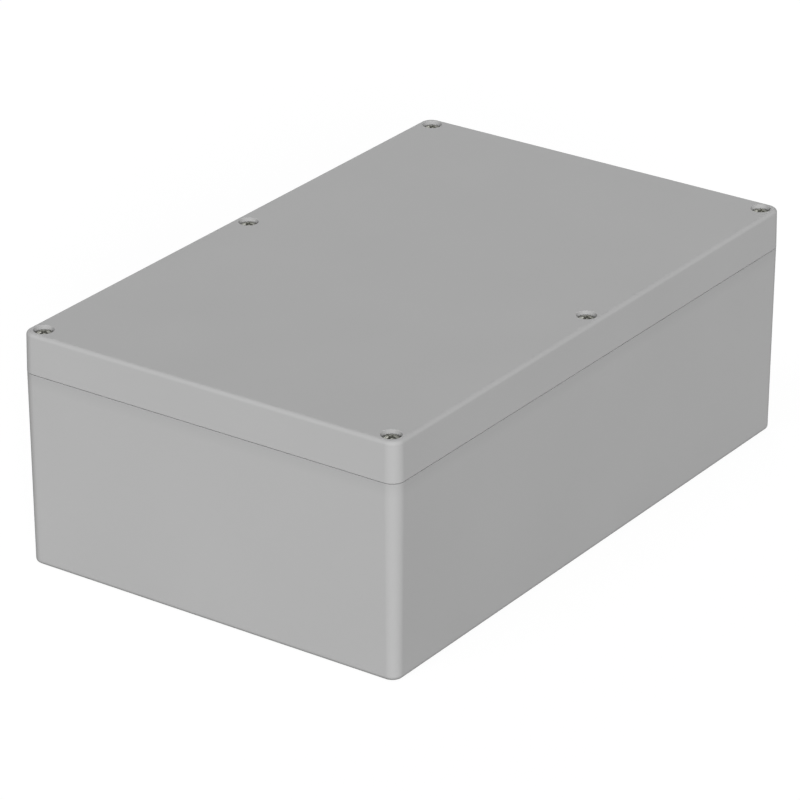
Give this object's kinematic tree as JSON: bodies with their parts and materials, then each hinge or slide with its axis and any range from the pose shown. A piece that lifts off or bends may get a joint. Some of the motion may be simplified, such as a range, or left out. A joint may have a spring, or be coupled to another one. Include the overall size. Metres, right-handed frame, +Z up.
{
  "type": "plastic enclosure",
  "caption": "Moulded grey wall enclosure with a drafted base, a shallow sealed lid, captive lid screws in counterbores and board bosses inside",
  "frame": {"origin": "middle of the underside of the base", "axes": "+X along the length, +Y along the width, +Z up through the lid"},
  "size_m": [0.25, 0.16, 0.09],
  "materials": {
    "grey_plastic": "finely eroded mould texture, light grey",
    "seal_rubber": "soft black rubber",
    "insert_brass": "turned brass",
    "screw_steel": "dark burnished steel"
  },
  "bodies": {
    "base": {"base": "grey_plastic", "thread_inserts": "insert_brass"},
    "lid": {"lid": "grey_plastic", "gasket": "seal_rubber"},
    "screw_front_left": {"lid_screw_front_left": "screw_steel"},
    "screw_front_mid": {"lid_screw_front_mid": "screw_steel"},
    "screw_front_right": {"lid_screw_front_right": "screw_steel"},
    "screw_rear_left": {"lid_screw_rear_left": "screw_steel"},
    "screw_rear_mid": {"lid_screw_rear_mid": "screw_steel"},
    "screw_rear_right": {"lid_screw_rear_right": "screw_steel"}
  },
  "joints": [
    {"name": "lid_lift", "type": "slide", "parent": "base", "child": "lid", "axis": [0, 0, 1], "range_m": [0, 0.12]},
    {"name": "screw_front_left_turn", "type": "hinge", "parent": "lid", "child": "screw_front_left", "pos_m": [-0.119, -0.074, 0.08], "axis": [0, 0, 1], "continuous": true},
    {"name": "screw_front_mid_turn", "type": "hinge", "parent": "lid", "child": "screw_front_mid", "pos_m": [0, -0.074, 0.08], "axis": [0, 0, 1], "continuous": true},
    {"name": "screw_front_right_turn", "type": "hinge", "parent": "lid", "child": "screw_front_right", "pos_m": [0.119, -0.074, 0.08], "axis": [0, 0, 1], "continuous": true},
    {"name": "screw_rear_left_turn", "type": "hinge", "parent": "lid", "child": "screw_rear_left", "pos_m": [-0.119, 0.074, 0.08], "axis": [0, 0, 1], "continuous": true},
    {"name": "screw_rear_mid_turn", "type": "hinge", "parent": "lid", "child": "screw_rear_mid", "pos_m": [0, 0.074, 0.08], "axis": [0, 0, 1], "continuous": true},
    {"name": "screw_rear_right_turn", "type": "hinge", "parent": "lid", "child": "screw_rear_right", "pos_m": [0.119, 0.074, 0.08], "axis": [0, 0, 1], "continuous": true}
  ]
}
